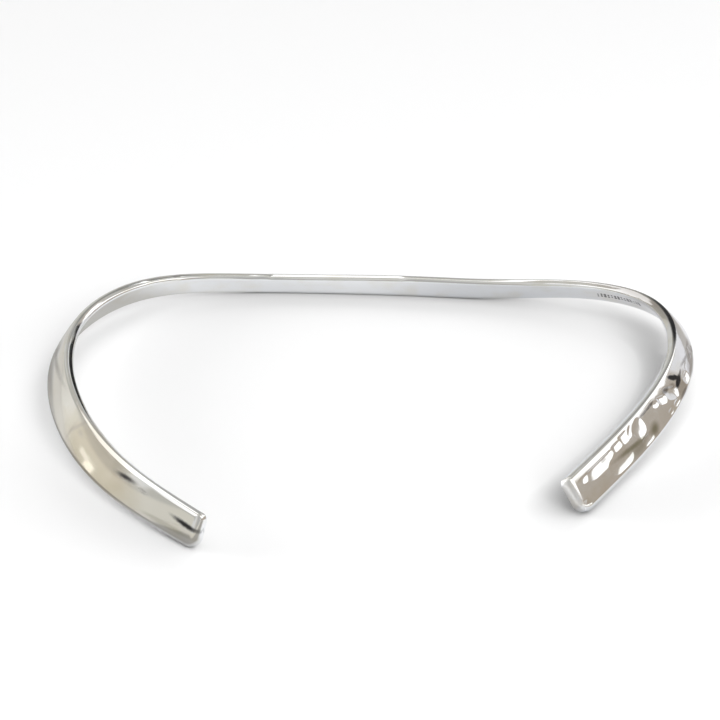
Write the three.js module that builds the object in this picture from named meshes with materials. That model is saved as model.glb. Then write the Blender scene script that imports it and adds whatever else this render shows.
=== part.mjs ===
// Rigid open collar: one forged and polished silver band, in millimetres, +Z up.
// It lies on its lower edge, with the open gap towards -Y. The neck goes in through the gap, along +Y.
import * as THREE from 'three';

// Driving dimensions
const bandThickness = 2.3;
const edgeRadius = { outer: 1.1, inner: 0.7 }; // rounding of the band's long edges
const crownAngle = 6; // degrees that the outer face turns away towards its edges
const endEdgeRadius = { outer: 1.3, inner: 0.6 }; // rounding between the end faces and the broad faces
const thinEdgeShare = 0.8; // where an end thins the band, its edges are rounded to this share of half of it
const endCornerRadius = {
  left: { top: 1.1, bottom: 2.4 },
  right: { top: 1.1, bottom: 2.8 },
};

// Stations along the band, from the left end round the nape to the right end. x and y are the middle of
// the band in plan, lift is its underside above the floor, height is measured up its face, and lean is the
// tilt in degrees of the face's top towards the neck. The stations steer a cubic B-spline. The nape's four
// level stations leave a flat to rest on, and a lift a little under 0 makes up for an end's rounded corner.
const stations = [
  { x: -28.3, y: -71.5, lift: -0.11, height: 6.7, lean: 20 },
  { x: -48, y: -53, lift: 1, height: 7.6, lean: 34 },
  { x: -60, y: -25.4, lift: 2.5, height: 7.6, lean: 38 },
  { x: -62, y: 4, lift: 2.7, height: 6.2, lean: 35 },
  { x: -48.6, y: 27.3, lift: 2.4, height: 4.7, lean: 19 },
  { x: -27, y: 33.2, lift: 0, height: 4, lean: 0 },
  { x: -8, y: 32.5, lift: 0, height: 4, lean: 0 },
  { x: 11, y: 31.5, lift: 0, height: 4.4, lean: 0 },
  { x: 29.5, y: 29, lift: 0, height: 4.3, lean: 0 },
  { x: 48.5, y: 26, lift: 2.4, height: 4.1, lean: 27 },
  { x: 65, y: 14.4, lift: 4.1, height: 5.3, lean: 44 },
  { x: 67.2, y: -9.4, lift: 3.2, height: 6.8, lean: 44 },
  { x: 56.4, y: -34.6, lift: 1.6, height: 7.5, lean: 42 },
  { x: 38.9, y: -59.85, lift: -0.17, height: 7.6, lean: 37 },
];

// Dents of the hammer on the outer face of the right arm: along from the right end, up from the middle of
// the face, half length, half widths below and above, turn of the long way in degrees, depth, and how
// flat the floor is (under 1 the dent is nearly a cone, over 1 it has a flat floor and steep walls)
const dents = [
  { along: 4.7, up: 1.85, long: 1.7, below: 1, above: 0.3, turn: 0, depth: 0.06, flat: 0.75 },
  { along: 10.1, up: 1.85, long: 4.9, below: 2, above: 0.3, turn: 0, depth: 0.14, flat: 0.75 },
  { along: 16.8, up: 2, long: 1.7, below: 1.55, above: 0.3, turn: 0, depth: 0.12, flat: 0.75 },
  { along: 20.1, up: 2.4, long: 1.7, below: 1.7, above: 0.3, turn: 0, depth: 0.12, flat: 0.75 },
  { along: 22.4, up: 1.9, long: 1.6, below: 0.8, above: 0.4, turn: 25, depth: 0.06, flat: 0.75 },
  { along: 25.3, up: 1.2, long: 2.3, below: 2.2, above: 1.2, turn: 12, depth: 0.18, flat: 1.5 },
  { along: 15.9, up: -1.2, long: 4.4, below: 1.55, above: 2.2, turn: 0, depth: 0.23, flat: 0.75 },
  { along: 26.2, up: -2, long: 2.4, below: 1, above: 1, turn: 0, depth: 0.16, flat: 0.75 },
  { along: 31, up: 0.4, long: 2.6, below: 1.6, above: 1.6, turn: 0, depth: 0.04, flat: 1 },
  { along: 34.2, up: 1.6, long: 1.4, below: 0.9, above: 0.5, turn: -15, depth: 0.08, flat: 0.75 },
  { along: 37.4, up: 1.3, long: 1.9, below: 1.5, above: 0.4, turn: -20, depth: 0.2, flat: 0.75 },
  { along: 41.2, up: 0.1, long: 2.5, below: 2.1, above: 1, turn: -25, depth: 0.36, flat: 0.75 },
  { along: 37.6, up: -2.1, long: 1.2, below: 0.8, above: 0.5, turn: 0, depth: 0.1, flat: 0.75 },
  { along: 41.3, up: -2.1, long: 1.8, below: 0.8, above: 0.5, turn: 0, depth: 0.12, flat: 0.75 },
  { along: 50, up: -1.3, long: 1.8, below: 1.3, above: 0.6, turn: 0, depth: 0.4, flat: 0.75 },
  { along: 53.5, up: -0.9, long: 1.8, below: 0.8, above: 0.8, turn: 0, depth: 0.04, flat: 1 },
  { along: 58.6, up: -1, long: 1.5, below: 0.8, above: 0.8, turn: 20, depth: 0.05, flat: 1 },
  { along: 61.5, up: -1.7, long: 1.7, below: 0.9, above: 0.9, turn: -30, depth: 0.08, flat: 1 },
];
const dentedLength = 62; // from the right end to the last of the dents
const dentFade = 3; // the last stretch of it, where dents run out
const dentRunOut = 0.05; // the share of the face along each long edge where the dents fade

// How finely the surface is divided
const plainStep = 2.6;
const dentedStep = 0.9;
const cornerSegments = 3;
const outerFaceSegments = 12;
const innerFaceSegments = 2;
const endSegments = 9;
const lengthSamples = 2000;

const columns = Object.keys(stations[0]);

// A station's value, with the row past each end mirrored so that the curve starts and stops at its end rows
function stationValue(index, column) {
  const last = stations.length - 1;
  if (index < 0) return 2 * stations[0][column] - stations[1][column];
  if (index > last) return 2 * stations[last][column] - stations[last - 1][column];
  return stations[index][column];
}

// The spline's values and its direction in plan; along runs from 0 at the left end to 1 at the right end
function bandAt(along) {
  const spans = stations.length - 1;
  const place = along * spans;
  const first = Math.min(Math.floor(place), spans - 1);
  const f = place - first;
  const valueWeights = [
    (1 - f) ** 3,
    3 * f ** 3 - 6 * f ** 2 + 4,
    -3 * f ** 3 + 3 * f ** 2 + 3 * f + 1,
    f ** 3,
  ];
  const slopeWeights = [-3 * (1 - f) ** 2, 9 * f ** 2 - 12 * f, -9 * f ** 2 + 6 * f + 3, 3 * f ** 2];
  const blend = (weights, column) =>
    weights.reduce((sum, weight, k) => sum + (weight * stationValue(first - 1 + k, column)) / 6, 0);
  const values = Object.fromEntries(columns.map((column) => [column, blend(valueWeights, column)]));
  const direction = new THREE.Vector2(blend(slopeWeights, 'x'), blend(slopeWeights, 'y')).normalize();
  return { ...values, direction };
}

// Lengths along the band, so that a place can be asked for in millimetres from the left end
function measureBand() {
  const lengths = [0];
  let before = bandAt(0);
  for (let i = 1; i <= lengthSamples; i += 1) {
    const here = bandAt(i / lengthSamples);
    lengths.push(lengths[i - 1] + Math.hypot(here.x - before.x, here.y - before.y));
    before = here;
  }
  return lengths;
}

const lengths = measureBand();
const bandLength = lengths[lengthSamples];

function alongAt(distance) {
  const next = Math.min(Math.max(lengths.findIndex((length) => length >= distance), 1), lengthSamples);
  const share = (distance - lengths[next - 1]) / (lengths[next] - lengths[next - 1]);
  return (next - 1 + share) / lengthSamples;
}

// How deep the dents are at a place on the outer face
function dentDepth(fromRightEnd, up) {
  const deepest = dents.reduce((depth, dent) => {
    const turn = THREE.MathUtils.degToRad(dent.turn);
    const along = fromRightEnd - dent.along;
    const across = up - dent.up;
    const longWay = (along * Math.cos(turn) + across * Math.sin(turn)) / dent.long;
    const upWay = across * Math.cos(turn) - along * Math.sin(turn);
    const wideWay = upWay / (upWay > 0 ? dent.above : dent.below);
    const sink = Math.max(1 - (longWay ** 4 + wideWay ** 2) ** dent.flat, 0);
    return Math.max(depth, dent.depth * sink);
  }, 0);
  return deepest * THREE.MathUtils.smoothstep(dentedLength + dentFade - fromRightEnd, 0, dentFade);
}

// What a rounding of the given radius takes off at a distance from the end
const cornerDrop = (distance, radius) =>
  distance < radius ? radius - Math.sqrt(radius ** 2 - (radius - distance) ** 2) : 0;

// One closed section as [out, up] pairs, counter-clockwise seen from the right end
function sectionOutline(distance, height) {
  const fromRightEnd = bandLength - distance;
  const atLeft = distance < fromRightEnd;
  const corner = atLeft ? endCornerRadius.left : endCornerRadius.right;
  const fromEnd = Math.max(Math.min(distance, fromRightEnd), 0);
  const top = height / 2 - cornerDrop(fromEnd, corner.top);
  const bottom = -height / 2 + cornerDrop(fromEnd, corner.bottom);
  const reach = {
    outer: bandThickness / 2 - cornerDrop(fromEnd, endEdgeRadius.outer),
    inner: bandThickness / 2 - cornerDrop(fromEnd, endEdgeRadius.inner),
  };
  const widest = ((reach.outer + reach.inner) / 2) * thinEdgeShare;
  const radius = {
    outer: Math.min(edgeRadius.outer, widest),
    inner: Math.min(edgeRadius.inner, widest),
  };

  const outline = [];
  const addCorner = (side, upSide, fromTurn, toTurn) => {
    const outSide = side === 'outer' ? 1 : -1;
    const edge = upSide > 0 ? top : bottom;
    for (let k = 0; k <= cornerSegments; k += 1) {
      const turn = THREE.MathUtils.lerp(fromTurn, toTurn, k / cornerSegments);
      outline.push([
        outSide * (reach[side] - radius[side]) + radius[side] * Math.cos(turn),
        edge - upSide * radius[side] + radius[side] * Math.sin(turn),
      ]);
    }
  };

  const crown = THREE.MathUtils.degToRad(crownAngle);
  const faceLow = bottom + radius.outer * (1 - Math.sin(crown));
  const faceHigh = top - radius.outer * (1 - Math.sin(crown));
  const faceRadius = (faceHigh - faceLow) / 2 / Math.sin(crown);
  const faceEdge = reach.outer - radius.outer * (1 - Math.cos(crown));
  const addOuterFace = () => {
    for (let k = 1; k < outerFaceSegments; k += 1) {
      const turn = crown * ((2 * k) / outerFaceSegments - 1);
      const up = (faceLow + faceHigh) / 2 + faceRadius * Math.sin(turn);
      const share = (up - faceLow) / (faceHigh - faceLow);
      const runOut = THREE.MathUtils.smoothstep(Math.min(share, 1 - share), 0, dentRunOut);
      const swell = faceRadius * (Math.cos(turn) - Math.cos(crown));
      outline.push([faceEdge + swell - dentDepth(fromRightEnd, up) * runOut, up]);
    }
  };
  const addInnerFace = () => {
    for (let k = 1; k < innerFaceSegments; k += 1) {
      const up = THREE.MathUtils.lerp(top - radius.inner, bottom + radius.inner, k / innerFaceSegments);
      outline.push([-reach.inner, up]);
    }
  };

  const quarterTurn = Math.PI / 2;
  addCorner('outer', -1, -quarterTurn, -crown);
  addOuterFace();
  addCorner('outer', 1, crown, quarterTurn);
  addCorner('inner', 1, quarterTurn, 2 * quarterTurn);
  addInnerFace();
  addCorner('inner', -1, 2 * quarterTurn, 3 * quarterTurn);
  return outline;
}

// The section set in space: its face leans towards the neck and its lowest point is at the lift
function placeSection(distance) {
  const { x, y, lift, height, lean, direction } = bandAt(alongAt(distance));
  const tilt = THREE.MathUtils.degToRad(lean);
  const outward = new THREE.Vector3(-direction.y, direction.x, 0);
  const vertical = new THREE.Vector3(0, 0, 1);
  const upFace = vertical.clone().multiplyScalar(Math.cos(tilt)).addScaledVector(outward, -Math.sin(tilt));
  const outFace = outward.clone().multiplyScalar(Math.cos(tilt)).addScaledVector(vertical, Math.sin(tilt));
  const edge = edgeRadius.inner; // the lower inner edge is the lowest
  const rise = (height / 2 - edge) * Math.cos(tilt) + (bandThickness / 2 - edge) * Math.abs(Math.sin(tilt));
  const centre = new THREE.Vector3(x, y, lift + edge + rise);
  return sectionOutline(distance, height).map(([out, up]) =>
    centre.clone().addScaledVector(outFace, out).addScaledVector(upFace, up),
  );
}

// Where the sections stand: close together in the rounded ends and in the dented stretch
function sectionDistances() {
  const distances = [];
  const { left, right } = endCornerRadius;
  const quarterTurn = (k) => 1 - Math.cos((k / endSegments) * (Math.PI / 2));
  for (let k = 0; k <= endSegments; k += 1) distances.push(left.bottom * quarterTurn(k));
  const dentedFrom = bandLength - dentedLength;
  const addEvenly = (from, to, step) => {
    const count = Math.round((to - from) / step);
    for (let k = 1; k <= count; k += 1) distances.push(from + ((to - from) * k) / count);
  };
  addEvenly(left.bottom, dentedFrom, plainStep);
  addEvenly(dentedFrom, bandLength - right.bottom, dentedStep);
  for (let k = endSegments - 1; k >= 0; k -= 1) distances.push(bandLength - right.bottom * quarterTurn(k));
  return distances;
}

// Skin between the sections, and a flat cap on each end
function loftBand() {
  const rings = sectionDistances().map(placeSection);
  const around = rings[0].length;
  const positions = rings.flat().flatMap((point) => point.toArray());
  const triangles = [];
  for (let i = 0; i < rings.length - 1; i += 1) {
    for (let j = 0; j < around; j += 1) {
      const a = i * around + j;
      const b = i * around + ((j + 1) % around);
      triangles.push(a, b, b + around, a, b + around, a + around);
    }
  }
  const addCap = (ring, start, facesBack) => {
    const middle = ring.reduce((sum, point) => sum.add(point), new THREE.Vector3()).divideScalar(around);
    const hub = positions.length / 3;
    positions.push(...middle.toArray());
    for (let j = 0; j < around; j += 1) {
      const next = start + ((j + 1) % around);
      triangles.push(hub, ...(facesBack ? [next, start + j] : [start + j, next]));
    }
  };
  addCap(rings[0], 0, true);
  addCap(rings[rings.length - 1], (rings.length - 1) * around, false);

  const geometry = new THREE.BufferGeometry();
  geometry.setAttribute('position', new THREE.Float32BufferAttribute(positions, 3));
  geometry.setIndex(triangles);
  return geometry;
}

// The origin is the middle of the collar's box, on the floor
function centreOnFloor(geometry) {
  geometry.computeBoundingBox();
  const { min, max } = geometry.boundingBox;
  geometry.translate(-(min.x + max.x) / 2, -(min.y + max.y) / 2, -min.z);
  geometry.computeVertexNormals();
  return geometry;
}

const polishedSilver = new THREE.MeshStandardMaterial({ color: 0xd8d6d2, roughness: 0.1, metalness: 1 });

const collar = new THREE.Mesh(centreOnFloor(loftBand()), polishedSilver);
collar.name = 'collar';

const necklace = new THREE.Group();
necklace.add(collar);

export default necklace;
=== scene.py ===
import math
import bpy
import numpy as np
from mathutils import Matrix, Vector


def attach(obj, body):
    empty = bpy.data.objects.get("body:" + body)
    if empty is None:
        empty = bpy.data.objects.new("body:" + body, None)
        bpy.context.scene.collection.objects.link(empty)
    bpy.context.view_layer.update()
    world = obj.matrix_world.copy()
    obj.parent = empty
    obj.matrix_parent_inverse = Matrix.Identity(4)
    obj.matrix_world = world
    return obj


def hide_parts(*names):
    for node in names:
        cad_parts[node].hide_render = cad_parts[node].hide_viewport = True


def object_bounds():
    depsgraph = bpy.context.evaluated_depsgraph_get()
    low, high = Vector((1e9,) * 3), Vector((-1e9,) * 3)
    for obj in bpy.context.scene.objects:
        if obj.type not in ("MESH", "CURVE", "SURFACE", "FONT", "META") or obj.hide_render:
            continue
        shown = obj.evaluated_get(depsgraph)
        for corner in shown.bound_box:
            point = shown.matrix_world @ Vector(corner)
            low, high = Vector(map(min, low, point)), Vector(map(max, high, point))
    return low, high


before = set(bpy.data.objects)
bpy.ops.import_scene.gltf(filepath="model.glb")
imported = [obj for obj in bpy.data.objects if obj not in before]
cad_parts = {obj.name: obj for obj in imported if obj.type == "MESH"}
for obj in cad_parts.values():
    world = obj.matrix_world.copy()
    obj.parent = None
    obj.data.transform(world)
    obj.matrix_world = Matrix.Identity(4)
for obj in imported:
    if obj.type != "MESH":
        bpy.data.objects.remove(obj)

cadLow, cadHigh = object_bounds()
middle = (cadLow + cadHigh) / 2
mm = 0.001
print("frame loaded, collar", [round(side / mm, 1) for side in cadHigh - cadLow], "mm")

camera = {
    "elevation": 28,  # degrees
    "distance": 450 * mm,
    "lens": 108,
    "sensor": 36,
    "lookAt": (-2.6 * mm, 19.6 * mm),  # from the middle of the collar's box, on the floor
    "clip": (0.01, 20),
}


def makeCamera():
    data = bpy.data.cameras.new("camera")
    data.lens = camera["lens"]
    data.sensor_width = camera["sensor"]
    data.clip_start, data.clip_end = camera["clip"]
    obj = bpy.data.objects.new("camera", data)
    bpy.context.collection.objects.link(obj)
    tilt = math.radians(camera["elevation"])
    back = Vector((0, -math.cos(tilt), math.sin(tilt)))
    target = Vector((middle.x + camera["lookAt"][0], middle.y + camera["lookAt"][1], cadLow.z))
    obj.location = target + back * camera["distance"]
    obj.rotation_euler = (-back).to_track_quat("-Z", "Y").to_euler()
    bpy.context.scene.camera = obj


makeCamera()
print("camera placed")

# The band, in millimetres and degrees. The stations steer a cubic B-spline from the left end round
# the nape to the right end: middle of the band in plan, underside above the floor, height up the
# face, lean of the face's top towards the neck.
band = {
    "thickness": 2.3,
    "edgeRadius": {"outer": 1.1, "inner": 0.7},
    "crownAngle": 6,  # how far the outer face turns away at its edges
    "endEdgeRadius": {"outer": 1.3, "inner": 0.6},
    "thinEdgeShare": 0.8,
    "leftEnd": {"top": 1.1, "bottom": 2.4},
    "rightEnd": {"top": 1.1, "bottom": 2.8},
    "columns": ("x", "y", "lift", "height", "lean"),
    "stations": (
        (-28.3, -71.5, -0.11, 6.7, 20),
        (-48, -53, 1, 7.6, 34),
        (-60, -25.4, 2.5, 7.6, 38),
        (-62, 4, 2.7, 6.2, 35),
        (-48.6, 27.3, 2.4, 4.7, 19),
        (-27, 33.2, 0, 4, 0),
        (-8, 32.5, 0, 4, 0),
        (11, 31.5, 0, 4.4, 0),
        (29.5, 29, 0, 4.3, 0),
        (48.5, 26, 2.4, 4.1, 27),
        (65, 14.4, 4.1, 5.3, 44),
        (67.2, -9.4, 3.2, 6.8, 44),
        (56.4, -34.6, 1.6, 7.5, 42),
        (38.9, -59.85, -0.17, 7.6, 37),
    ),
    "plainStep": 0.8,
    "fineStep": 0.2,
    "cornerSegments": 8,
    "outerSegments": 52,
    "innerSegments": 26,
    "endSegments": 14,
    "lengthSamples": 4000,
}

# Dents of the outer face by the right end: along from the right end, up from the middle of the
# face, half length, half widths below and above, turn of the long way, depth, flatness of the floor.
dents = {
    "columns": ("along", "up", "long", "below", "above", "turn", "depth", "flat"),
    "rows": (
        (0.4, -3.3, 2.6, 1.0, 2.0, 0, 0.30, 0.75),
        (5.0, 1.85, 2.4, 1.1, 0.3, 0, 0.08, 0.75),
        (9.7, 1.85, 5.4, 2.0, 0.3, 0, 0.14, 0.75),
        (12.8, 1.85, 2.0, 1.8, 0.3, 0, 0.13, 0.75),
        (16.8, 2.0, 1.7, 1.55, 0.3, 0, 0.12, 0.75),
        (20.1, 2.4, 1.7, 1.7, 0.3, 0, 0.12, 0.75),
        (22.4, 1.9, 1.6, 0.8, 0.4, 25, 0.06, 0.75),
        (25.3, 1.2, 2.4, 2.2, 1.2, 14, 0.18, 1),
        (15.9, -1.2, 4.4, 1.55, 2.2, 0, 0.23, 0.75),
        (26.2, -2.0, 2.4, 1.0, 1.0, 0, 0.16, 0.75),
        (31.0, 0.4, 2.6, 1.6, 1.6, 0, 0.04, 1),
        (34.2, 1.6, 1.4, 0.9, 0.5, -15, 0.08, 0.75),
        (37.4, 1.3, 1.9, 1.5, 0.4, -20, 0.20, 0.75),
        (41.8, 0.5, 2.8, 2.2, 0.8, -25, 0.30, 0.75),
        (37.6, -2.1, 1.2, 0.8, 0.5, 0, 0.10, 0.75),
        (41.3, -2.1, 1.8, 0.8, 0.5, 0, 0.12, 0.75),
        (50.0, -1.3, 1.8, 1.3, 0.6, 0, 0.40, 0.75),
        (53.5, -0.9, 1.8, 0.8, 0.8, 0, 0.04, 1),
        (58.6, -1.0, 1.5, 0.8, 0.8, 20, 0.05, 1),
        (61.5, -1.7, 1.7, 0.9, 0.9, -30, 0.08, 1),
    ),
    "reach": 62,  # mm from the right end
    "fade": 3,
    "edgeShare": 0.05,  # the share of the face by each long edge where the dents run out
}

# Facets left by the hammer on the top edge behind the nape: from and to along the band from its right
# end, how far they tip towards the neck in degrees, and the length they fade over.
facets = {
    "columns": ("start", "end", "tip", "fade"),
    "rows": (
        (70, 86, -13, 5),
        (86, 100, -6, 5),
        (103, 114, 3, 4),
        (137.5, 168, 9.5, 0.8),
        (169.8, 173.5, 3.5, 0.8),
        (178, 187, -2, 0.8),
        (188, 197, -5, 1.5),
    ),
}

# Two rows of plain punch marks on the inner face, in place of lettering.
punches = {
    "count": 14,
    "rows": (0.5, -0.15),
    "start": 83.4,
    "step": 0.86,
    "climb": 0.045,  # each mark towards the right end stands higher
    "radius": 0.34,
    "depth": 0.12,
    "sizeWaver": (0.25, 1.7),  # the share by which the radius wavers, and the turn from mark to mark
    "upWaver": (0.08, 2.3),
    "fineStep": 0.14,
    "fineMargin": (1, 0.4),  # of the finer mesh, past the first and the last mark
}


def splineBand(samples):
    rows = np.array(band["stations"], float)
    rows = np.vstack([2 * rows[0] - rows[1], rows, 2 * rows[-1] - rows[-2]])
    spans = len(band["stations"]) - 1
    place = np.asarray(samples, float) * spans
    first = np.minimum(place.astype(int), spans - 1)
    f = (place - first)[:, None]
    values = ((1 - f) ** 3 * rows[first] + (3 * f**3 - 6 * f**2 + 4) * rows[first + 1]
              + (-3 * f**3 + 3 * f**2 + 3 * f + 1) * rows[first + 2] + f**3 * rows[first + 3]) / 6
    slopes = (-3 * (1 - f) ** 2 * rows[first] + (9 * f**2 - 12 * f) * rows[first + 1]
              + (-9 * f**2 + 6 * f + 3) * rows[first + 2] + 3 * f**2 * rows[first + 3]) / 6
    direction = slopes[:, :2] / np.linalg.norm(slopes[:, :2], axis=1, keepdims=True)
    return dict(zip(band["columns"], values.T)), direction


lengthShares = np.linspace(0, 1, band["lengthSamples"] + 1)
samplePlaces, _ = splineBand(lengthShares)
sampleSteps = np.hypot(np.diff(samplePlaces["x"]), np.diff(samplePlaces["y"]))
lengths = np.concatenate([[0], np.cumsum(sampleSteps)])
bandLength = lengths[-1]


def cornerDrop(distance, radius):  # what a rounding takes off at a distance from the end
    inside = np.clip(radius - distance, 0, radius)
    return radius - np.sqrt(radius**2 - inside**2)


def smoothStep(value, low, high):
    share = np.clip((value - low) / (high - low), 0, 1)
    return share * share * (3 - 2 * share)


def dentDepth(fromRight, up):
    depth = np.zeros_like(fromRight)
    for row in dents["rows"]:
        dent = dict(zip(dents["columns"], row))
        turn = math.radians(dent["turn"])
        along, across = fromRight - dent["along"], up - dent["up"]
        longWay = (along * math.cos(turn) + across * math.sin(turn)) / dent["long"]
        wideWay = across * math.cos(turn) - along * math.sin(turn)
        wideWay /= np.where(wideWay > 0, dent["above"], dent["below"])
        inside = np.clip(1 - (longWay**4 + wideWay**2) ** dent["flat"], 0, 1)
        depth = np.maximum(depth, dent["depth"] * inside)
    return depth


def facetSlope(fromRight):
    slope = np.zeros_like(fromRight)
    for row in facets["rows"]:
        facet = dict(zip(facets["columns"], row))
        inside = (smoothStep(fromRight - facet["start"], 0, facet["fade"])
                  * smoothStep(facet["end"] - fromRight, 0, facet["fade"]))
        slope += math.tan(math.radians(facet["tip"])) * inside
    return slope


def punchDepth(fromRight, up):
    depth = np.zeros_like(fromRight)
    sizeShare, sizeTurn = punches["sizeWaver"]
    upReach, upTurn = punches["upWaver"]
    for k in range(punches["count"]):
        size = punches["radius"] * (1 + sizeShare * math.cos(sizeTurn * k))
        lift = punches["climb"] * (punches["count"] - k) + upReach * math.sin(upTurn * k)
        along = fromRight - punches["start"] - punches["step"] * k
        for row in punches["rows"]:
            across = up - row - lift
            depth = np.maximum(depth, np.clip(1 - (along**2 + across**2) / size**2, 0, 1))
    return depth


def sectionDistances():
    turns = np.arange(band["endSegments"] + 1) / band["endSegments"] * math.pi / 2
    leftEnd = band["leftEnd"]["bottom"] * (1 - np.cos(turns))
    rightEnd = bandLength - band["rightEnd"]["bottom"] * (1 - np.cos(turns))[::-1]
    fineFrom = bandLength - dents["reach"] - dents["fade"]
    plain = np.linspace(leftEnd[-1], fineFrom, round((fineFrom - leftEnd[-1]) / band["plainStep"]) + 1)
    fine = np.linspace(fineFrom, rightEnd[0], round((rightEnd[0] - fineFrom) / band["fineStep"]) + 1)
    margin = punches["fineMargin"]
    punchedLength = punches["count"] * punches["step"] + sum(margin)
    punched = bandLength - punches["start"] + margin[0] - np.arange(0, punchedLength, punches["fineStep"])
    plain = plain[(plain < punched.min()) | (plain > punched.max())]
    return np.concatenate([np.sort(np.concatenate([leftEnd, plain[1:], punched])), fine[1:], rightEnd[1:]])


def sectionOutlines(distances, height):
    fromRight = bandLength - distances
    atLeft = distances < fromRight
    fromEnd = np.maximum(np.minimum(distances, fromRight), 0)

    def endDrop(corner):
        return np.where(atLeft, cornerDrop(fromEnd, band["leftEnd"][corner]),
                        cornerDrop(fromEnd, band["rightEnd"][corner]))

    top = height / 2 - endDrop("top")
    bottom = -height / 2 + endDrop("bottom")
    reach, radius = {}, {}
    for side in ("outer", "inner"):
        reach[side] = band["thickness"] / 2 - cornerDrop(fromEnd, band["endEdgeRadius"][side])
    for side in ("outer", "inner"):
        thinnest = (reach["outer"] + reach["inner"]) / 2 * band["thinEdgeShare"]
        radius[side] = np.minimum(band["edgeRadius"][side], thinnest)
    crown = math.radians(band["crownAngle"])
    quarter = math.pi / 2
    tipped = facetSlope(fromRight)
    outs, ups, marks = [], [], []

    def addPoint(out, up, mark=None):
        outs.append(out)
        ups.append(up)
        marks.append(np.zeros_like(out) if mark is None else mark)

    def addCorner(side, upSide, startAngle, endAngle):
        edge = top if upSide > 0 else bottom
        outSide = 1 if side == "outer" else -1
        for k in range(band["cornerSegments"] + 1):
            turn = startAngle + (endAngle - startAngle) * k / band["cornerSegments"]
            out = outSide * (reach[side] - radius[side]) + radius[side] * math.cos(turn)
            up = edge - upSide * radius[side] + radius[side] * math.sin(turn)
            if upSide > 0:
                up = up + tipped * (out - reach["outer"] / 2) * smoothStep(math.sin(turn), 0, 1)
            addPoint(out, up)

    addCorner("outer", -1, -quarter, -crown)
    faceLow = bottom + radius["outer"] * (1 - math.sin(crown))
    faceHigh = top - radius["outer"] * (1 - math.sin(crown))
    faceRadius = (faceHigh - faceLow) / 2 / math.sin(crown)
    faceEdge = reach["outer"] - radius["outer"] * (1 - math.cos(crown))
    for k in range(1, band["outerSegments"]):
        turn = crown * (2 * k / band["outerSegments"] - 1)
        up = (faceHigh + faceLow) / 2 + faceRadius * math.sin(turn)
        share = (up - faceLow) / (faceHigh - faceLow)
        depth = dentDepth(fromRight, up)
        runOut = smoothStep(np.minimum(share, 1 - share), 0, dents["edgeShare"])
        out = faceEdge + faceRadius * (math.cos(turn) - math.cos(crown)) - depth * runOut
        addPoint(out, up, depth)
    addCorner("outer", 1, crown, quarter)
    addCorner("inner", 1, quarter, 2 * quarter)
    for k in range(1, band["innerSegments"]):
        share = k / band["innerSegments"]
        up = (top - radius["inner"]) * (1 - share) + (bottom + radius["inner"]) * share
        punched = punchDepth(fromRight, up)
        addPoint(-reach["inner"] + punches["depth"] * punched, up, punched)
    addCorner("inner", -1, 2 * quarter, 3 * quarter)
    return np.stack(outs, 1), np.stack(ups, 1), np.stack(marks, 1)


def makeCollar():
    distances = sectionDistances()
    places, direction = splineBand(np.interp(distances, lengths, lengthShares))
    out, up, mark = sectionOutlines(distances, places["height"])
    lean = np.radians(places["lean"])
    outward = np.stack([-direction[:, 1], direction[:, 0], np.zeros_like(lean)], 1)
    vertical = np.array([0, 0, 1.0])
    cosLean, sinLean = np.cos(lean)[:, None], np.sin(lean)[:, None]
    upFace = cosLean * vertical - sinLean * outward
    outFace = cosLean * outward + sinLean * vertical
    edge = band["edgeRadius"]["inner"]  # the inner lower edge is the lowest
    centreHeight = (places["lift"] + edge + (places["height"] / 2 - edge) * np.cos(lean)
                    + (band["thickness"] / 2 - edge) * np.abs(np.sin(lean)))
    centre = np.stack([places["x"], places["y"], centreHeight], 1)
    rings = centre[:, None] + out[..., None] * outFace[:, None] + up[..., None] * upFace[:, None]

    count, around = rings.shape[:2]
    i, j = np.meshgrid(np.arange(count - 1), np.arange(around), indexing="ij")
    here = i * around + j
    beside = i * around + (j + 1) % around
    quads = np.stack([here, beside, beside + around, here + around], -1).reshape(-1, 4).tolist()
    points = np.vstack([rings.reshape(-1, 3), rings[0].mean(0), rings[-1].mean(0)])
    hubLeft, hubRight = count * around, count * around + 1
    lastRing = (count - 1) * around
    caps = [(hubLeft, (k + 1) % around, k) for k in range(around)]
    caps += [(hubRight, lastRing + k, lastRing + (k + 1) % around) for k in range(around)]

    low, high = points.min(0), points.max(0)
    shift = np.array([middle.x, middle.y, cadLow.z]) / mm - np.array(
        [(low[0] + high[0]) / 2, (low[1] + high[1]) / 2, low[2]])
    mesh = bpy.data.meshes.new("silver_collar")
    mesh.from_pydata(((points + shift) * mm).tolist(), [], quads + caps)
    mesh.shade_smooth()
    fromRight = np.repeat(bandLength - distances[:, None], around, 1)
    place = np.vstack([np.stack([fromRight, up, out], -1).reshape(-1, 3), (bandLength, 0, 0), (0, 0, 0)])
    for name, kind, key, values in (("bandPlace", "FLOAT_VECTOR", "vector", place),
                                    ("pressed", "FLOAT", "value", np.append(mark.ravel(), (0, 0)))):
        layer = mesh.attributes.new(name, kind, "POINT")
        layer.data.foreach_set(key, values.ravel().astype(np.float32))
    obj = bpy.data.objects.new("silver_collar", mesh)
    bpy.context.collection.objects.link(obj)
    return obj


collar = makeCollar()
print("collar lofted,", len(collar.data.polygons), "faces")

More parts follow.
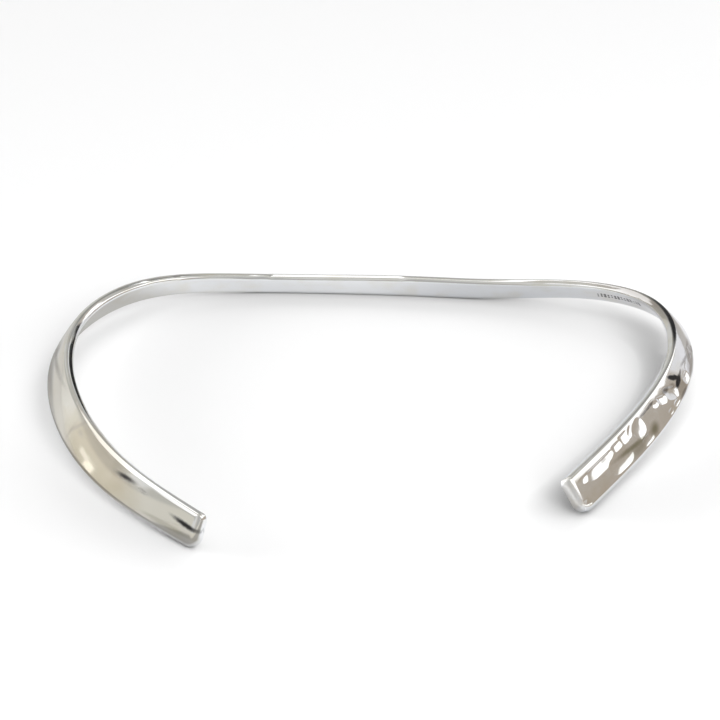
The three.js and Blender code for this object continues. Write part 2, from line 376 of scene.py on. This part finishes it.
# Marks on the silver, in millimetres and degrees: along from the right end, up from the middle of the outer
# face, half length, half width, half the reach through the band, turn, softness of the rim, tone, strength.
# Most are tarnish; the rows noted below are painted reflections and painted shade instead.
silver = {
    "colour": (0.93, 0.93, 0.925),
    "warmColour": (0.89, 0.875, 0.83),
    "hazeRange": (0.45, 0.75),  # of the haze, from the plain colour to the warm one
    "lineRange": (0.35, 0.75),  # of the hairlines, between the two roughnesses
    "roughness": (0.05, 0.13),
    "dullRoughness": 0.16,  # what black and smoky marks add
    "rubbedEnd": (0.5, 1.4, 0.3, 0),  # from and to along the band, and the roughness added at each
    "scales": {"Line": 9, "Haze": 0.35, "Ripple": 0.8},
    "rippleHeight": 0.003 * mm,
    "fray": {"scale": 1.3, "detail": 4, "reach": 0.16},  # makes the rims of the marks ragged
    "innerFace": (-0.9, -1.1),  # out from the middle of the band, where the punch marks darken
    "punchDark": (0.05, 0.7, 0, 0.9),  # from and to of how far it is pressed, and the strength at each
    "tones": {
        "black": (0.015, 0.015, 0.018),
        "smoke": (0.25, 0.24, 0.23),
        "olive": (0.38, 0.37, 0.27),
        "taupe": (0.75, 0.70, 0.61),
        "grey": (0.58, 0.56, 0.54),
    },
    "markColumns": ("along", "up", "long", "wide", "through", "turn", "soft", "tone", "strength"),
    "marks": (
        (58.7, -1.9, 7.0, 1.5, 2.3, 3, 0.25, "grey", 0.85),
        (46.0, -1.7, 2.6, 1.0, 2.3, 0, 0.4, "grey", 0.6),
        (45.3, 1.35, 1.7, 0.6, 2.3, -32, 0.3, "black", 1),
        (46.4, -0.2, 2.3, 0.6, 2.3, 8, 0.3, "black", 1),
        (46.7, 0.5, 1.0, 0.6, 2.3, -50, 0.3, "black", 1),
        # painted reflections: the grey band and the black streak on the top edge at the right rear corner
        (80, 2.6, 14, 1.4, 2.3, 0, 0.5, "grey", 1),
        (69.5, 2.75, 14, 0.55, 0.75, -2.1, 0.3, "black", 1),
        (49.2, 0.2, 1.1, 0.25, 2.3, 8, 0.4, "smoke", 0.8),
        (32.7, 2.1, 1.5, 0.28, 2.3, 0, 0.4, "smoke", 0.9),
        (30.2, 2.1, 2.6, 0.24, 2.3, 0, 0.4, "smoke", 0.85),
        (40.4, 1.2, 1.5, 0.5, 2.3, -8, 0.5, "smoke", 0.9),
        (43.4, 0.5, 1.0, 0.5, 2.3, -20, 0.6, "grey", 0.8),
        (54.6, 0.0, 3.2, 0.3, 2.3, -9, 0.6, "smoke", 0.6),
        (61.0, -0.5, 3.4, 0.25, 2.3, -9, 0.6, "smoke", 0.4),
        (29.6, -1.6, 1.6, 0.9, 2.3, 10, 0.8, "olive", 0.9),
        (22.5, -1.7, 3.0, 1.0, 2.3, 0, 0.8, "olive", 0.55),
        (20.5, -0.7, 5.0, 0.4, 2.3, -5, 0.8, "olive", 0.85),
        (11.6, 1.5, 0.9, 0.3, 2.3, 0, 0.3, "grey", 0.9),
        (45.6, -2.6, 2.4, 0.35, 2.3, 0, 0.5, "smoke", 0.6),
        (58.0, -1.2, 1.2, 0.3, 2.3, -10, 0.5, "smoke", 0.5),
        (61.6, -1.9, 1.7, 0.6, 2.3, -30, 0.5, "smoke", 0.4),
        # painted reflection of the shaded floor: the taupe patch on the left arm's face
        (275.5, -0.2, 13.5, 4.4, 2.3, -3, 0.4, "taupe", 1),
        (265.3, 1.2, 2.2, 0.45, 2.3, 50, 0.9, "grey", 0.5),
        (263.9, -0.6, 1.6, 0.4, 2.3, 85, 0.9, "grey", 0.4),
        (267.5, 1.0, 1.2, 0.5, 2.3, 0, 0.8, "grey", 0.4),
        # painted reflection: a dark streak along the left arm's face
        (285.8, 1.5, 2.8, 0.45, 2.3, 5, 0.7, "black", 0.95),
        (291.2, 1.3, 1.2, 0.3, 2.3, 0, 0.6, "smoke", 0.5),
        # painted reflections near the left end: the dark streak, and the olive band low on the face
        (303.4, 0.42, 3.2, 0.45, 2.3, -3, 0.6, "black", 0.97),
        (299.5, -1.6, 5.5, 0.45, 2.3, 3, 0.6, "olive", 0.4),
        # painted shade on the left rear of the band
        (239.5, 0.6, 8.5, 0.5, 2.3, 8, 0.8, "smoke", 0.7),
        (232.3, -0.2, 2.6, 1.1, 2.3, 0, 0.9, "smoke", 0.85),
        (238.0, -2.0, 8.0, 1.0, 2.3, 2, 0.8, "grey", 0.7),
    ),
}


def addNode(tree, kind, **settings):
    node = tree.nodes.new(kind)
    for name, value in settings.items():
        setattr(node, name, value)
    return node


def feed(tree, socket, value):  # another node's output, a colour or a number
    if isinstance(value, bpy.types.NodeSocket):
        tree.links.new(value, socket)
    elif isinstance(value, tuple):
        socket.default_value = (*value, 1)
    else:
        socket.default_value = value


def blend(tree, factor, colour, other, how="MIX"):
    node = addNode(tree, "ShaderNodeMix", data_type="RGBA", blend_type=how)
    for name, value in (("A", colour), ("B", other), ("Factor", factor)):
        feed(tree, node.inputs[name], value)
    return node.outputs["Result"]


def smoothRange(tree, value, low, high, toLow=0, toHigh=1):
    node = addNode(tree, "ShaderNodeMapRange", interpolation_type="SMOOTHSTEP")
    settings = {"Value": value, "From Min": low, "From Max": high, "To Min": toLow, "To Max": toHigh}
    for name, setting in settings.items():
        feed(tree, node.inputs[name], setting)
    return node.outputs["Result"]


def calculate(tree, operation, *values):
    node = addNode(tree, "ShaderNodeMath", operation=operation)
    for socket, value in zip(node.inputs, values):
        feed(tree, socket, value)
    return node.outputs[0]


def newGroup(name, vectors, floats, outputs):
    group = bpy.data.node_groups.new(name, "ShaderNodeTree")
    for label in vectors:
        group.interface.new_socket(label, in_out="INPUT", socket_type="NodeSocketVector")
    for label in floats:
        group.interface.new_socket(label, in_out="INPUT", socket_type="NodeSocketFloat")
    for label in outputs:
        group.interface.new_socket(label, in_out="OUTPUT", socket_type="NodeSocketFloat")
    return group, group.nodes.new("NodeGroupInput"), group.nodes.new("NodeGroupOutput")


def makeMarkGroup():  # one ragged oval mark on the band
    group, given, result = newGroup("softMark", ("Place", "Centre", "Size"),
                                    ("Turn", "Softness", "Strength"), ("Mask",))
    link = group.links.new
    offset = addNode(group, "ShaderNodeVectorMath", operation="SUBTRACT")
    turned = addNode(group, "ShaderNodeVectorRotate", rotation_type="Z_AXIS")
    scaled = addNode(group, "ShaderNodeVectorMath", operation="DIVIDE")
    length = addNode(group, "ShaderNodeVectorMath", operation="LENGTH")
    link(given.outputs["Place"], offset.inputs[0])
    link(given.outputs["Centre"], offset.inputs[1])
    link(offset.outputs[0], turned.inputs["Vector"])
    link(given.outputs["Turn"], turned.inputs["Angle"])
    link(turned.outputs[0], scaled.inputs[0])
    link(given.outputs["Size"], scaled.inputs[1])
    link(scaled.outputs[0], length.inputs[0])
    low = calculate(group, "SUBTRACT", 1, given.outputs["Softness"])
    high = calculate(group, "ADD", 1, given.outputs["Softness"])
    mask = smoothRange(group, length.outputs["Value"], low, high, given.outputs["Strength"], 0)
    link(mask, result.inputs["Mask"])
    return group


def makeWearGroup():  # hairlines along the band, cloudy haze and the ripple of the hammer
    stretches = {"Line": (0.06, 1, 1), "Haze": (0.5, 1, 1), "Ripple": (0.6, 1, 1)}
    group, given, result = newGroup("handPolish", ("Place",), [label + " Scale" for label in stretches],
                                    stretches)
    link = group.links.new
    for label, stretch in stretches.items():
        scaled = addNode(group, "ShaderNodeVectorMath", operation="MULTIPLY")
        scaled.inputs[1].default_value = stretch
        noise = addNode(group, "ShaderNodeTexNoise")
        noise.inputs["Detail"].default_value = 3
        link(given.outputs["Place"], scaled.inputs[0])
        link(scaled.outputs[0], noise.inputs["Vector"])
        link(given.outputs[label + " Scale"], noise.inputs["Scale"])
        link(noise.outputs["Fac"], result.inputs[label])
    return group


def makeSilver():
    material = bpy.data.materials.new("polishedSilver")
    material.use_nodes = True
    tree = material.node_tree
    link = tree.links.new
    shader = tree.nodes["Principled BSDF"]
    shader.inputs["Metallic"].default_value = 1
    place = addNode(tree, "ShaderNodeAttribute", attribute_name="bandPlace").outputs["Vector"]
    pressed = addNode(tree, "ShaderNodeAttribute", attribute_name="pressed").outputs["Fac"]
    split = addNode(tree, "ShaderNodeSeparateXYZ")
    link(place, split.inputs[0])

    wear = addNode(tree, "ShaderNodeGroup", node_tree=makeWearGroup())
    link(place, wear.inputs["Place"])
    for label, scale in silver["scales"].items():
        wear.inputs[label + " Scale"].default_value = scale

    fray = addNode(tree, "ShaderNodeTexNoise")
    fray.inputs["Scale"].default_value = silver["fray"]["scale"]
    fray.inputs["Detail"].default_value = silver["fray"]["detail"]
    centred = addNode(tree, "ShaderNodeVectorMath", operation="SUBTRACT")
    centred.inputs[1].default_value = (0.5, 0.5, 0.5)
    frayed = addNode(tree, "ShaderNodeVectorMath", operation="MULTIPLY_ADD")
    frayed.inputs[1].default_value = [2 * silver["fray"]["reach"]] * 2 + [0]
    link(place, fray.inputs["Vector"])
    link(fray.outputs["Color"], centred.inputs[0])
    link(centred.outputs[0], frayed.inputs[0])
    link(place, frayed.inputs[2])

    warmth = smoothRange(tree, wear.outputs["Haze"], *silver["hazeRange"])
    colour = blend(tree, warmth, silver["colour"], silver["warmColour"])
    markGroup = makeMarkGroup()
    dull = 0
    for row in silver["marks"]:
        mark = dict(zip(silver["markColumns"], row))
        node = addNode(tree, "ShaderNodeGroup", node_tree=markGroup)
        link(frayed.outputs[0], node.inputs["Place"])
        node.inputs["Centre"].default_value = (mark["along"], mark["up"], band["thickness"] / 2)
        node.inputs["Size"].default_value = (mark["long"], mark["wide"], mark["through"])
        node.inputs["Turn"].default_value = -math.radians(mark["turn"])
        node.inputs["Softness"].default_value = mark["soft"]
        node.inputs["Strength"].default_value = mark["strength"]
        colour = blend(tree, node.outputs["Mask"], colour, silver["tones"][mark["tone"]])
        if mark["tone"] in ("black", "smoke"):
            dull = calculate(tree, "MAXIMUM", dull, node.outputs["Mask"])
    onInside = smoothRange(tree, split.outputs["Z"], *silver["innerFace"])
    inPunch = calculate(tree, "MULTIPLY", smoothRange(tree, pressed, *silver["punchDark"]), onInside)
    link(blend(tree, inPunch, colour, silver["tones"]["black"]), shader.inputs["Base Color"])

    hairlines = smoothRange(tree, wear.outputs["Line"], *silver["lineRange"], *silver["roughness"])
    rough = calculate(tree, "MULTIPLY_ADD", dull, silver["dullRoughness"], hairlines)
    rubbed = smoothRange(tree, split.outputs["X"], *silver["rubbedEnd"])  # the right end is satin
    link(calculate(tree, "ADD", rough, rubbed), shader.inputs["Roughness"])

    bump = addNode(tree, "ShaderNodeBump")
    bump.inputs["Distance"].default_value = silver["rippleHeight"]
    link(wear.outputs["Ripple"], bump.inputs["Height"])
    link(bump.outputs["Normal"], shader.inputs["Normal"])
    return material


collar.data.materials.append(makeSilver())
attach(collar, "root")
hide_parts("collar")
print("silver made")

# The floor is bright to the eye. In the silver it is greyer and changes from place to place, as painted
# shade and painted reflections for the silver to mirror: a base colour, then fades in turn to another
# colour along the floor's X or Y, from one line to another.
floor = {
    "size": 3.0,
    "colour": (0.96, 0.96, 0.96),
    "seen": {
        "inside": ((0.94, 0.955, 0.98), (
            ((0.73, 0.745, 0.775), "X", -5 * mm, 20 * mm),
        )),
        "outside": ((0.33, 0.32, 0.30), (
            ((0.42, 0.41, 0.39), "Y", -15 * mm, 15 * mm),
            ((0.60, 0.59, 0.57), "Y", 22 * mm, 38 * mm),
            ((0.80, 0.80, 0.82), "X", 8 * mm, 22 * mm),
            ((0.10, 0.10, 0.09), "Y", 55 * mm, 65 * mm),
        )),
        "far": ((0.58, 0.56, 0.51), (
            ((0.46, 0.44, 0.42), "X", -20 * mm, 20 * mm),
        )),
    },
    "insideEdge": (58 * mm, 66 * mm),  # from the middle, where inside turns to outside
    "farEdge": (84 * mm, 104 * mm),
    "spots": (  # what the right end sees: its own shade, and the bright floor in front of it
        {"centre": (20 * mm, -60 * mm), "edge": (14 * mm, 18 * mm), "colour": (0.97, 0.97, 0.97)},
        {"centre": (31 * mm, -42 * mm), "edge": (5 * mm, 8 * mm), "colour": (0.42, 0.41, 0.40)},
    ),
    "contact": {  # the floor close under the right arm, shaded from the right
        "colour": (0.22, 0.22, 0.22),
        "faces": (0.75, 0.1, 0.65),
        "reach": 9 * mm,
        "samples": 8,
        "yShare": -0.5,  # of Y, added to X: the sum says how far to the right a place lies
        "from": (30 * mm, 50 * mm),
    },
}

# Azimuth is degrees from straight behind the collar towards its right, elevation degrees above the
# floor. Each card is a soft-edged panel, and later cards hang in front of earlier ones.
studio = {
    "keyAzimuth": 155,
    "keyElevation": 34,
    "keyDistance": 1.2,
    "keySize": 0.97,
    "keyPower": 10.2,
    "topLight": (0.78, 0.78, 0.78),
    "topFrom": 45,
    "topFull": 60,
    "fills": (  # light for the floor alone, in the same columns as the cards
        (-67, 6, 14, 5, 12, (15, 15, 15)),
        (75, 6, 25, 5, 12, (5, 5, 5)),
        (22, 24, 14, 5, 12, (4.6, 4.6, 4.6)),
        (90, 44, 30, 5, 12, (1.6, 1.6, 1.6)),
    ),
    "castBySilver": (0.05, 0.05, 0.05),
    "backdrop": (1, 1, 1),
    "wall": (0.39, 0.34, 0.285),
    "upperWall": (0.50, 0.47, 0.43),
    "ceiling": (0.58, 0.58, 0.55),
    "wallTop": 45,
    "ceilingFrom": 72,
    "columns": ("azimuth", "elevation", "halfWidth", "halfHeight", "softness", "colour"),
    "cards": (
        (170, 20, 26, 70, 8, (0.44, 0.44, 0.43)),    # the room on the viewer's side
        (156, 18, 7, 6, 2, (0.85, 0.85, 0.84)),
        (-145, 20, 10, 70, 6, (0.58, 0.57, 0.54)),
        (-112, 20, 24, 70, 6, (0.68, 0.68, 0.67)),
        (-60, 20, 52, 10, 3, (0.46, 0.45, 0.41)),    # grey wall on the left
        (-72, 4, 28, 5, 2, (0.62, 0.60, 0.53)),      # pale low wall on the left
        (-40, 5, 12, 8, 3, (0.63, 0.61, 0.55)),
        (-14, 12, 12, 16, 3, (0.60, 0.60, 0.58)),
        (-77, 46, 16, 25, 2, (1.3, 1.3, 1.3)),       # left window
        (-54, 46, 7, 17, 1.5, (1.3, 1.3, 1.3)),
        (-39, 43, 9, 9, 1.5, (1.3, 1.3, 1.3)),
        (-20, 44, 12, 7, 1.5, (1.3, 1.3, 1.3)),
        (-86, 27, 2.5, 13, 2, (0.66, 0.66, 0.64)),   # its mullion
        (82, 43, 44, 20, 1.5, (1.3, 1.3, 1.3)),      # right window
        (44, 27, 14, 7, 1.5, (1.3, 1.3, 1.3)),
        (52.2, 20.5, 2.7, 3, 1, (1.3, 1.3, 1.3)),
        (124, 9, 16, 13, 3, (0.41, 0.36, 0.31)),
        (36, 50, 34, 12, 3, (0.50, 0.49, 0.46)),
        (15, 39, 9, 13, 3, (0.25, 0.25, 0.24)),
        (-4, 27, 9, 8, 2, (0.48, 0.47, 0.43)),
        (-7.5, 43, 8, 6.5, 1.5, (1.3, 1.3, 1.3)),
        (6, 47, 17, 3, 1.5, (1.3, 1.3, 1.3)),
        (5, 8, 8, 16, 3, (0.40, 0.40, 0.39)),
        (16, 20, 7, 5, 2.5, (0.35, 0.35, 0.34)),
        (15, 14.5, 5.5, 2.5, 1.5, (0.80, 0.80, 0.80)),
        (18, 2, 6, 7.5, 2, (0.02, 0.02, 0.02)),      # the dark doorway behind
        (24.5, 8, 5, 5, 2, (0.02, 0.02, 0.02)),
        (28, 15, 3, 6, 2, (0.03, 0.03, 0.03)),
        (34, 7, 4, 13, 2.5, (0.78, 0.78, 0.81)),
        (41, 2, 5, 8, 2, (0.78, 0.78, 0.81)),
        (45, 11, 4, 3.5, 2, (0.74, 0.74, 0.76)),
        (-71.5, 2.6, 1.8, 1.5, 1, (1.3, 1.28, 1.2)),
        (-67.5, 4.3, 2.0, 0.8, 1, (1.0, 0.99, 0.93)),   # a bright fleck in the left arm
    ),
}


def makeFloor():
    half = floor["size"] / 2
    mesh = bpy.data.meshes.new("floor")
    corners = [(-half, -half), (half, -half), (half, half), (-half, half)]
    mesh.from_pydata([(x, y, cadLow.z) for x, y in corners], [], [(0, 1, 2, 3)])
    obj = bpy.data.objects.new("floor", mesh)
    bpy.context.collection.objects.link(obj)
    material = bpy.data.materials.new("paleFloor")
    material.use_nodes = True
    tree = material.node_tree
    tree.nodes.remove(tree.nodes["Principled BSDF"])
    coords = addNode(tree, "ShaderNodeTexCoord").outputs["Object"]
    split = addNode(tree, "ShaderNodeSeparateXYZ")
    fromMiddle = addNode(tree, "ShaderNodeVectorMath", operation="LENGTH")
    link = tree.links.new
    link(coords, split.inputs[0])
    link(coords, fromMiddle.inputs[0])

    def seenZone(name):
        colour, fades = floor["seen"][name]
        for other, axis, low, high in fades:
            colour = blend(tree, smoothRange(tree, split.outputs[axis], low, high), colour, other)
        return colour

    onOutside = smoothRange(tree, fromMiddle.outputs["Value"], *floor["insideEdge"])
    farAway = smoothRange(tree, fromMiddle.outputs["Value"], *floor["farEdge"])
    seen = blend(tree, onOutside, seenZone("inside"), seenZone("outside"))
    seen = blend(tree, farAway, seen, seenZone("far"))
    for spot in floor["spots"]:
        away = addNode(tree, "ShaderNodeVectorMath", operation="DISTANCE")
        away.inputs[1].default_value = (*spot["centre"], 0)
        link(coords, away.inputs[0])
        seen = blend(tree, smoothRange(tree, away.outputs["Value"], *spot["edge"]), spot["colour"], seen)
    path = addNode(tree, "ShaderNodeLightPath")
    fromFloor = calculate(tree, "GREATER_THAN", path.outputs["Diffuse Depth"], 0.5)
    seen = blend(tree, fromFloor, seen, studio["castBySilver"])

    contact = floor["contact"]
    occlusion = addNode(tree, "ShaderNodeAmbientOcclusion", samples=contact["samples"])
    occlusion.inputs["Distance"].default_value = contact["reach"]
    faces = addNode(tree, "ShaderNodeCombineXYZ")
    for name, value in zip("XYZ", contact["faces"]):
        faces.inputs[name].default_value = value
    link(faces.outputs[0], occlusion.inputs["Normal"])
    shaded = blend(tree, occlusion.outputs["AO"], contact["colour"], floor["colour"])
    toRight = calculate(tree, "MULTIPLY_ADD", split.outputs["Y"], contact["yShare"], split.outputs["X"])
    pale = blend(tree, smoothRange(tree, toRight, *contact["from"]), floor["colour"], shaded)

    matt = addNode(tree, "ShaderNodeBsdfDiffuse")
    link(blend(tree, path.outputs["Is Camera Ray"], seen, pale), matt.inputs["Color"])
    link(matt.outputs["BSDF"], tree.nodes["Material Output"].inputs["Surface"])
    mesh.materials.append(material)


def makeKeyLight():
    data = bpy.data.lights.new("key", "AREA")
    data.shape = "DISK"
    data.size = studio["keySize"]
    data.energy = studio["keyPower"]
    obj = bpy.data.objects.new("key", data)
    bpy.context.collection.objects.link(obj)
    azimuth, elevation = math.radians(studio["keyAzimuth"]), math.radians(studio["keyElevation"])
    flat = math.cos(elevation)
    direction = Vector((math.sin(azimuth) * flat, math.cos(azimuth) * flat, math.sin(elevation)))
    obj.location = studio["keyDistance"] * direction
    obj.rotation_euler = (-obj.location).to_track_quat("-Z", "Y").to_euler()
    obj.visible_glossy = False


def makeCardGroup():  # one soft-edged panel
    group, given, result = newGroup("softCard", (), (
        "Azimuth", "Elevation", "Card Azimuth", "Card Elevation", "Half Width", "Half Height", "Softness",
    ), ("Mask",))

    def edge(angle, centre, half):
        offset = calculate(group, "SUBTRACT", given.outputs[angle], given.outputs[centre])
        away = calculate(group, "ABSOLUTE", calculate(group, "WRAP", offset, 180, -180))
        outer = calculate(group, "ADD", given.outputs[half], given.outputs["Softness"])
        return smoothRange(group, away, given.outputs[half], outer, 1, 0)

    both = calculate(group, "MULTIPLY", edge("Azimuth", "Card Azimuth", "Half Width"),
                     edge("Elevation", "Card Elevation", "Half Height"))
    group.links.new(both, result.inputs["Mask"])
    return group


def makeStudio():
    world = bpy.data.worlds.new("studio")
    world.use_nodes = True
    bpy.context.scene.world = world
    tree = world.node_tree
    link = tree.links.new
    coords = addNode(tree, "ShaderNodeTexCoord")
    split = addNode(tree, "ShaderNodeSeparateXYZ")
    link(coords.outputs["Generated"], split.inputs[0])
    azimuth = calculate(tree, "ARCTAN2", split.outputs["X"], split.outputs["Y"])
    azimuth = calculate(tree, "DEGREES", azimuth)
    elevation = calculate(tree, "DEGREES", calculate(tree, "ARCSINE", split.outputs["Z"]))
    cardGroup = makeCardGroup()

    def addCards(colour, rows, how):
        for row in rows:
            card = dict(zip(studio["columns"], row))
            mask = addNode(tree, "ShaderNodeGroup", node_tree=cardGroup)
            link(azimuth, mask.inputs["Azimuth"])
            link(elevation, mask.inputs["Elevation"])
            mask.inputs["Card Azimuth"].default_value = card["azimuth"]
            mask.inputs["Card Elevation"].default_value = card["elevation"]
            mask.inputs["Half Width"].default_value = card["halfWidth"]
            mask.inputs["Half Height"].default_value = card["halfHeight"]
            mask.inputs["Softness"].default_value = card["softness"]
            colour = blend(tree, mask.outputs["Mask"], colour, card["colour"], how)
        return colour

    upTheWall = smoothRange(tree, elevation, 0, studio["wallTop"])
    upToCeiling = smoothRange(tree, elevation, studio["wallTop"], studio["ceilingFrom"])
    room = blend(tree, upTheWall, studio["wall"], studio["upperWall"])
    room = addCards(blend(tree, upToCeiling, room, studio["ceiling"]), studio["cards"], "MIX")

    overhead = smoothRange(tree, elevation, studio["topFrom"], studio["topFull"])
    light = addCards(blend(tree, overhead, (0, 0, 0), studio["topLight"]), studio["fills"], "ADD")

    # The silver mirrors the room, the floor takes the light, and the silver casts next to none on it.
    path = addNode(tree, "ShaderNodeLightPath")
    fromFloor = calculate(tree, "GREATER_THAN", path.outputs["Diffuse Depth"], 0.5)
    room = blend(tree, fromFloor, room, studio["castBySilver"])
    sent = blend(tree, path.outputs["Is Glossy Ray"], light, room)
    seen = blend(tree, path.outputs["Is Camera Ray"], sent, studio["backdrop"])
    link(seen, tree.nodes["Background"].inputs["Color"])


makeFloor()
makeKeyLight()
makeStudio()
bpy.context.scene.view_settings.view_transform = "Standard"
print("studio set")
